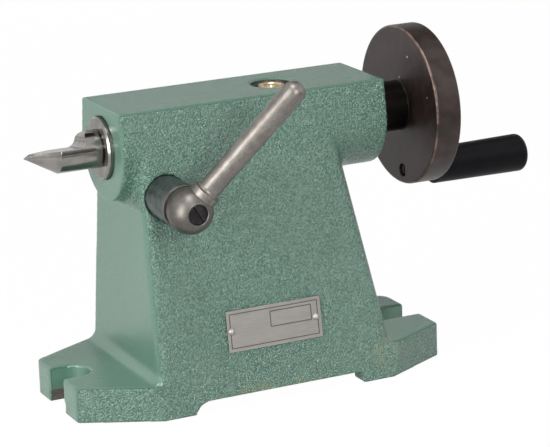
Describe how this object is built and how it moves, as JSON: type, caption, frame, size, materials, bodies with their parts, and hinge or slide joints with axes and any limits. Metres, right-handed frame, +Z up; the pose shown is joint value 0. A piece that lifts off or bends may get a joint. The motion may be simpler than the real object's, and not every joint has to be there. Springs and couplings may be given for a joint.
{
  "type": "tailstock",
  "caption": "Cast tailstock with a half centre in a screw-fed quill, crank handwheel, quill clamp lever and slotted base lugs.",
  "frame": {"origin": "on the base plane, in the middle of the base's length and width, straight below the spindle axis", "axes": "+X along the spindle from the centre point towards the handwheel, +Z up, clamp lever and nameplate on the -Y side"},
  "size_m": [0.2681, 0.1254, 0.165],
  "materials": {
    "green_enamel": "satin",
    "ground_steel": "satin",
    "blackened_steel": "satin",
    "browned_iron": "satin",
    "satin_nickel": "satin",
    "black_plastic": "matte",
    "brass": "satin",
    "bronze": "satin",
    "plate_aluminium": "satin"
  },
  "bodies": {
    "body": {"body_casting": "green_enamel", "nameplate": "plate_aluminium", "nameplate_rivets": "plate_aluminium", "oiler_body": "brass", "oiler_spring": "ground_steel", "quill_key": "ground_steel", "key_screw": "blackened_steel", "front_thrust_washer": "ground_steel", "rear_thrust_washer": "ground_steel", "bearing_retainer": "blackened_steel"},
    "screw": {"feed_screw": "ground_steel", "handwheel": "browned_iron", "handwheel_key": "ground_steel", "wheel_washer": "blackened_steel", "wheel_nut": "blackened_steel", "handle_spindle": "blackened_steel", "snap_ring": "ground_steel"},
    "quill": {"quill_sleeve": "ground_steel", "half_centre": "ground_steel", "feed_nut": "bronze", "nut_pin": "ground_steel"},
    "grip": {"handle_grip": "black_plastic"},
    "front_cotter": {"front_cotter": "blackened_steel"},
    "rear_cotter": {"rear_cotter": "blackened_steel"},
    "lever": {"clamp_stud": "ground_steel", "lever_collar": "satin_nickel", "lever_hub": "satin_nickel", "lever_arm": "satin_nickel", "lever_screw": "blackened_steel"},
    "oiler_ball": {"oiler_ball": "ground_steel"}
  },
  "joints": [
    {"name": "handwheel_turn", "type": "hinge", "parent": "body", "child": "screw", "pos_m": [0, 0, 0.125], "axis": [-1, 0, 0], "range_deg": [-179, 2249]},
    {"name": "quill_feed", "type": "slide", "parent": "body", "child": "quill", "axis": [-1, 0, 0], "range_m": [-0.002, 0.025]},
    {"name": "grip_spin", "type": "hinge", "parent": "screw", "child": "grip", "pos_m": [0.1322, -0.00359, 0.09199], "axis": [1, 0, 0], "continuous": true},
    {"name": "front_cotter_slide", "type": "slide", "parent": "body", "child": "front_cotter", "axis": [0, 1, 0], "range_m": [-0.0001, 0.0001]},
    {"name": "lever_turn", "type": "hinge", "parent": "front_cotter", "child": "lever", "pos_m": [-0.0476, 0, 0.104], "axis": [0, 1, 0], "range_deg": [-45, 40]},
    {"name": "rear_cotter_slide", "type": "slide", "parent": "body", "child": "rear_cotter", "axis": [0, -1, 0], "range_m": [-0.0001, 0.0001]},
    {"name": "oiler_ball_press", "type": "slide", "parent": "body", "child": "oiler_ball", "axis": [0, 0, -1], "range_m": [0, 0.00025], "stiffness_N_per_m": 300, "springref_m": -0.0005, "deforming": ["oiler_spring"]}
  ],
  "couplings": [
    {"joint": "quill_feed", "follows": "handwheel_turn", "m_per_rad": 0.00063662},
    {"joint": "front_cotter_slide", "follows": "lever_turn", "m_per_rad": 0.00011937},
    {"joint": "rear_cotter_slide", "follows": "lever_turn", "m_per_rad": 0.00011937}
  ]
}
